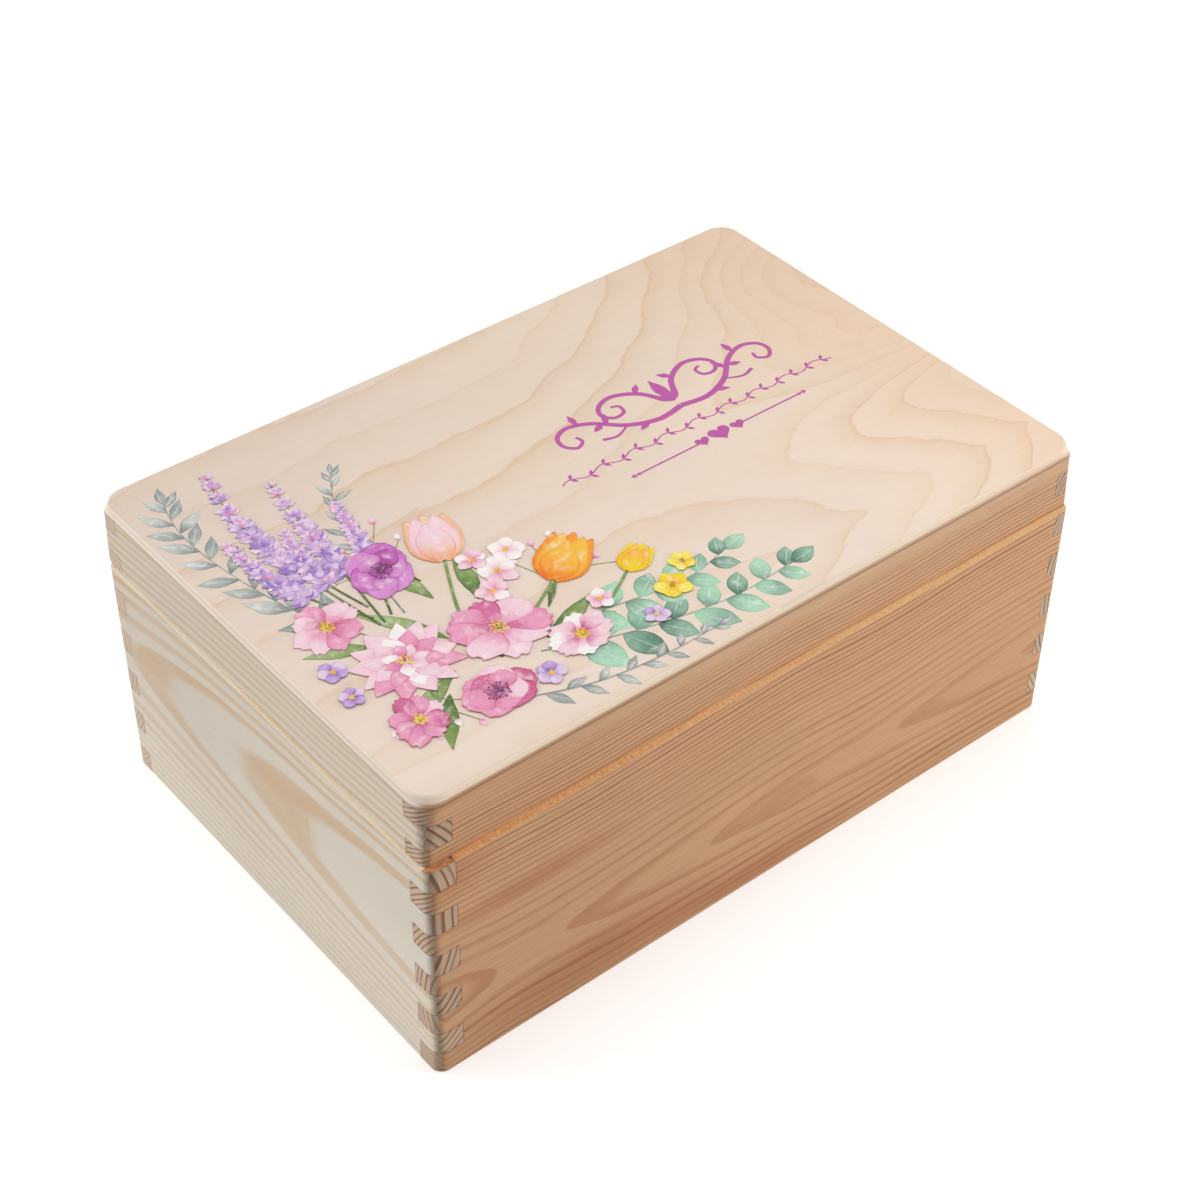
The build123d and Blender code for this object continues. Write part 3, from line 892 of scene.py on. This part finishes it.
def spray(ink, x, y, angle, length, count, level, stem, pigments):
    """A loose spray of tiny round buds on forked threads."""
    for i in range(count):
        turn = angle + (i / (count - 1) - 0.5) * 1.3 + ink.chance.uniform(-0.1, 0.1)
        reach = length * ink.chance.uniform(0.6, 1.0)
        tip = squashed((x, y), turn, reach)
        fork = squashed((x, y), angle, reach * 0.5)
        ink.stem(curve([(x, y), fork, tip], 5), 0.5, 0.3, level + i, stem)
        ink.blade(tip, turn, 3.4, 2.6, BUD, level + count + i, pigments[i % len(pigments)])


def green_parts():
    """Leafy twigs at both ends of the crescent, and the leaves under the flowers."""
    leaves = Print("print_leaves", seed=11)
    greys = inks((SAGE, ASH), (ASH, SAGE), (MIST, ASH))
    greens = inks((JADE, PINE_GREEN), (MINT, JADE), (PINE_GREEN, JADE), (JADE, MINT))
    sprigs = (
        (((-112, -30), (-127, 0), (-135, 34), (-137, 62), (-133, 82)),
         19, 17, 6.4, LANCE_LEAF, 0, greys, 0.75),
        (((-100, -20), (-94, 18), (-86, 42), (-76, 60)), 15, 11, 3.6, LANCE_LEAF, 8, greys, 0.6),
        (((-76, -64), (-44, -76), (-8, -83), (22, -82)), 14, 17, 10.5, LAUREL_LEAF, 0, greens, 0.9),
        (((-66, -56), (-40, -62), (-14, -66), (8, -62)), 10, 15, 9.5, LAUREL_LEAF, 8, greens, 0.9),
        (((-100, -76), (-72, -87), (-44, -91), (-20, -91)), 13, 10, 4.0, LANCE_LEAF, 16, greys, 0.7),
    )
    for points, count, length, width, shape, level, pigments, spread in sprigs:
        sprig(leaves, points, count, length, width, shape, level, GREY_STEM, pigments, spread)
    blades = ((-96, -40, 2.0, 36), (-84, -58, 0.9, 32), (-104, -54, 3.5, 32), (-70, -60, 0.2, 28),
              (-118, -28, 2.6, 24), (-76, -30, 1.2, 26), (-88, -20, 1.7, 28), (-112, -62, 4.0, 26))
    for i, (x, y, angle, length) in enumerate(blades):
        pigment = GREEN_STEM if i % 2 else Pigment(OLIVE, LEAF)
        leaves.blade((x, y), angle, length, 7.0, LANCE_LEAF, 24 + i, pigment, 0.12, 0.02)
    for x, y, angle, length in ((-86, -10, 1.9, 40), (-60, -48, 0.75, 38), (-112, -50, 4.3, 30)):
        spray(leaves, x, y, angle, length, 7, 34, GREEN_STEM, inks((WHITE, BLUSH), (BLUSH, PINK)))
    return leaves


def flower_parts():
    """The flowers: lavender to the back, tulips to the right, open blossoms in the bend."""
    flowers = Print("print_flowers", seed=23, lowest=14)
    spikes = (
        ((-110, -20), (-116, 20), (-118, 56), (-113, 86)),
        ((-108, -20), (-104, 12), (-101, 40), (-97, 68)),
        ((-110, -16), (-122, 8), (-127, 28), (-128, 48)),
        ((-104, -18), (-95, 6), (-89, 26), (-85, 44)),
        ((-108, -10), (-112, 10), (-111, 28), (-108, 42)),
    )
    for i, points in enumerate(spikes):
        lavender(flowers, points, 13.0 - i * 0.5, 38 + i)

    for path in ([(-92, -50), (-84, -28), (-73, -6)], [(-88, -58), (-68, -48), (-50, -38)],
                 [(-70, -64), (-46, -60), (-27, -50)], [(-92, -50), (-76, -36), (-58, -16)]):
        flowers.stem(curve(path, 8), 1.4, 1.1, 37, GREEN_STEM)
    tulip(flowers, -73, -6, 1.25, 27, 70, Pigment(PEACH, BUTTER), Pigment(BLUSH, PEACH))
    tulip(flowers, -50, -38, 0.62, 27, 70, Pigment(ORANGE, AMBER), Pigment(AMBER, ORANGE))
    tulip(flowers, -27, -50, 0.5, 16, 70, Pigment(YELLOW, AMBER), Pigment(AMBER, YELLOW))

    pale = inks((WHITE, PINK), (BLUSH, ROSE), (BLUSH, PINK), (PINK, ROSE))
    rosy = inks((PINK, ROSE), (BLUSH, PINK), (ROSE, PINK))
    purple = inks((MAGENTA, PLUM), (MALLOW, MAGENTA), (ORCHID, MAGENTA))
    cosmos(flowers, -125, -10, 14, 76, pale, (0.4, 0.85))
    anemone(flowers, -94, 3, 14.5, 78, purple, (1.0, 0.85))
    dahlia(flowers, -114, -40, 21, 106, pale, (0.2, 0.9))
    anemone(flowers, -99, -71, 14, 122, rosy, (0.0, 0.88))
    cosmos(flowers, -80, -46, 18, 140, rosy, (2.6, 0.9))
    cosmos(flowers, -60, -66, 13, 128, pale, (0.3, 0.8))
    cosmos(flowers, -127, -66, 12, 140, rosy, (1.2, 0.85))

    white = inks((WHITE, BLUSH), (BLUSH, PINK))
    yellow = inks((YELLOW, AMBER), (LEMON, YELLOW))
    lilac = inks((LILAC, VIOLET), (PALE_LILAC, LILAC))
    small = ((-62, -22, 8, white), (-53, -15, 7, white), (-66, -12, 6, white), (-70, -30, 6.5, white),
             (-20, -66, 7, yellow), (-9, -58, 5.5, yellow), (-34, -74, 5, lilac), (-80, -75, 6, lilac),
             (-136, -30, 5.5, lilac), (-138, -44, 5, lilac), (-44, -56, 5.5, white))
    for i, (x, y, radius, pigments) in enumerate(small):
        middle = Pigment(OCHRE, MOSS) if pigments is yellow else Pigment(AMBER, OCHRE)
        primrose(flowers, x, y, radius, 84 + i * 10, pigments, middle)
    return flowers


# The ornaments are of one ink and centred at MIDDLE_X; the divider lies at DIVIDER_Y
ONE_INK = Pigment(MAGENTA, MAGENTA)
MIDDLE_X = 51.0
DIVIDER_Y = -10.4


def heart(x, y, width, height):
    """A heart's outline, counterclockwise, upright towards +Y."""
    outline = []
    for i in range(40):
        t = -2 * math.pi * i / 40
        across = math.sin(t) ** 3
        up = (13 * math.cos(t) - 5 * math.cos(2 * t) - 2 * math.cos(3 * t) - math.cos(4 * t) + 2.5) / 29
        outline.append((x + across * width / 2, y + up * height))
    return outline


def print_divider(ink_finish):
    """A thin arrow line, pointed at both ends, with three hearts in the middle."""
    divider = Print("print_hearts_divider", seed=5)
    divider.plate(heart(MIDDLE_X, DIVIDER_Y - 0.3, 9.6, 8.0), 2, ONE_INK)
    for side in (-1, 1):
        divider.plate(heart(MIDDLE_X + side * 8.6, DIVIDER_Y - 0.2, 6.2, 5.2), 2, ONE_INK)
        far = MIDDLE_X + side * 42.3
        near = MIDDLE_X + side * 11.0
        y = DIVIDER_Y + side * 0.2
        divider.stem([(near + (far - near) * i / 6, y) for i in range(7)], 0.85, 0.85, 0, ONE_INK)
        for start, size in ((0.0, 1.45), (-2.2, 1.15)):
            tip = far + side * (1.2 + start)
            back = tip - side * 2.4
            outline = [(tip, y), (back, y + size), (tip - side * 1.6, y), (back, y - size)]
            divider.plate(outline if side > 0 else outline[::-1], 1, ONE_INK)
    divider.piece(ink_finish)


def print_flourish(ink_finish):
    """A mirrored scroll, with a fine leafy vine under it."""
    flourish = Print("print_flourish", seed=8)
    scrolls = (
        ([(0, 12), (12, 10.5), (24, 15), (34, 24), (43, 27.5), (49.5, 25), (51, 19.5), (47.5, 15.5),
          (43.5, 17.5), (44, 21)], 2.7, 1.3),
        ([(3, 19), (8, 27.5), (17, 32.5), (24.5, 31), (28, 26), (25, 21.5), (20, 22), (19, 26), (22, 27.5)],
         2.5, 1.2),
        ([(24, 15), (31, 12), (37, 13.5)], 0.8, 1.6),
    )
    leaves = (
        (16, 12.5, -0.6, 7), (29.5, 20, 1.9, 7), (38.5, 26.5, 1.5, 7), (31, 21.5, -0.5, 6), (9, 28.5, 2.2, 6),
    )
    for side in (-1, 1):
        for k, (points, width0, width1) in enumerate(scrolls):
            path = curve([(MIDDLE_X + side * x, y) for x, y in points], 10)
            flourish.stem(path, width0, width1, k * 4, ONE_INK, 3.0)
        for x, y, angle, length in leaves:
            turn = angle if side > 0 else math.pi - angle
            flourish.blade((MIDDLE_X + side * x, y), turn, length, 2.8, LANCE_LEAF, 14, ONE_INK, 0.1 * side)
    flourish.blade((MIDDLE_X, 17), math.pi / 2, 15, 5.2, LANCE_LEAF, 15, ONE_INK)
    for angle in (0.9, math.pi - 0.9):
        flourish.blade((MIDDLE_X, 16), angle, 9, 3.4, LANCE_LEAF, 14, ONE_INK)

    vine = [(MIDDLE_X - 66 + i * 1.1, 1.0 + 1.3 * math.sin(i * 0.46)) for i in range(121)]
    flourish.stem(vine, 0.6, 0.6, 0, ONE_INK)
    for i in range(4, 118, 7):
        x, y = vine[i]
        for turn in (0.9, -0.9):
            flourish.blade((x, y), turn, 3.4, 1.5, LANCE_LEAF, 2, ONE_INK)
    flourish.piece(ink_finish)


def print_lid():
    """All that is printed on the lid: a crescent of garden flowers, a scroll and a divider."""
    paint = watercolour()
    green_parts().piece(paint)
    flower_parts().piece(paint)
    ink_finish = magenta_ink()
    print_divider(ink_finish)
    print_flourish(ink_finish)


# The camera, solved from the box's straight edges: its azimuth, elevation and roll in degrees, and its
# place and lens in millimetres
CAMERA_ANGLES = (39.59, 40.77, 0.63)
CAMERA_PLACE = (-431.01, -523.88, 653.42)
CAMERA_LENS = 70.55
SENSOR = 36.0
# Soft lights, each with its place, aim and size in metres, and its power in watts
LIGHTS = (
    ("top_softbox", (0.15, 0.15, 1.7), (0, 0, 0.1), 1.6, 13.0),
    ("left_softbox", (-1.2, 0.95, 0.45), (0, 0, 0.06), 0.9, 7.7),
    ("right_softbox", (1.2, -0.95, 0.45), (0, 0, 0.06), 0.9, 8.8),
)
# The world's colour and strength as light, and where it is seen itself
WORLD_LIGHT = ((1.0, 0.985, 0.97, 1.0), 0.4)
WORLD_SEEN = ((1, 1, 1, 1), 1.0)
# Half the floor's side in metres, and the distances between which its glow rises, in millimetres
FLOOR_HALF = 6.0
FLOOR_FADE = (500.0, 2000.0)


def add_camera():
    """The camera of the photographed view."""
    azimuth, elevation, roll = (math.radians(angle) for angle in CAMERA_ANGLES)
    ahead = Vector((
        math.sin(azimuth) * math.cos(elevation),
        math.cos(azimuth) * math.cos(elevation),
        -math.sin(elevation),
    ))
    level = Vector((math.cos(azimuth), -math.sin(azimuth), 0))
    above = level.cross(ahead)
    right = level * math.cos(roll) + above * math.sin(roll)
    up = above * math.cos(roll) - level * math.sin(roll)
    data = bpy.data.cameras.new("camera")
    data.sensor_width = SENSOR
    data.lens = CAMERA_LENS
    data.clip_start = 0.01
    camera = new_object("camera", data)
    turn = Matrix((right, up, -ahead)).transposed().to_4x4()
    camera.matrix_world = Matrix.Translation(Vector(CAMERA_PLACE) * MM) @ turn
    bpy.context.scene.camera = camera


def add_light(name, place, aim, size, power):
    """A round soft light that points at its aim."""
    data = bpy.data.lights.new(name, "AREA")
    data.shape = "DISK"
    data.size = size
    data.energy = power
    light = new_object(name, data)
    light.location = place
    light.rotation_euler = (Vector(aim) - Vector(place)).to_track_quat("-Z", "Y").to_euler()


def finish_pick(g, hidden, seen, output_kind):
    """Ends a graph in one node for bounced light and another for camera, glossy and transmission rays."""
    paths = g.node("ShaderNodeLightPath")
    camera, glossy, through = (g.out(paths, f"Is {ray} Ray") for ray in ("Camera", "Glossy", "Transmission"))
    direct = g.larger(g.larger(camera, glossy), through)
    pick = g.node("ShaderNodeMixShader", {0: direct, 1: g.out(hidden), 2: g.out(seen)})
    g.node(output_kind, {"Surface": g.out(pick)})


def add_world():
    """Even studio light, and pure white where the world itself is seen."""
    world = bpy.data.worlds.new("studio")
    bpy.context.scene.world = world
    g = Graph(world)
    backgrounds = [
        g.node("ShaderNodeBackground", {"Color": colour, "Strength": strength})
        for colour, strength in (WORLD_LIGHT, WORLD_SEEN)
    ]
    finish_pick(g, *backgrounds, "ShaderNodeOutputWorld")


def add_floor():
    """A wide pale floor with the box's soft shadow. It looks white around it, and glows more far away."""
    corners = [(x * FLOOR_HALF, y * FLOOR_HALF, 0) for x, y in ((-1, -1), (1, -1), (1, 1), (-1, 1))]
    mesh = bpy.data.meshes.new("floor")
    mesh.from_pydata(corners, [], [(0, 1, 2, 3)])
    floor = new_object("floor", mesh)
    g = Graph(bpy.data.materials.new("floor_white"))
    matte = g.node("ShaderNodeBsdfDiffuse", {"Color": rgb(232, 232, 232)})
    x, y, _ = g.place()
    far = g.smooth(*FLOOR_FADE, g.math("SQRT", x * x + y * y))
    glow = g.node("ShaderNodeEmission", {"Color": (1, 1, 1, 1), "Strength": 0.45 + far * 0.6})
    lit = g.node("ShaderNodeAddShader", {0: g.out(matte), 1: g.out(glow)})
    finish_pick(g, matte, lit, "ShaderNodeOutputMaterial")
    mesh.materials.append(g.owner)


def add_studio():
    """Camera, world, floor and lights."""
    bpy.context.scene.view_settings.view_transform = "Standard"
    add_camera()
    add_world()
    add_floor()
    for light in LIGHTS:
        add_light(*light)


dress_frame()
print_lid()
add_studio()
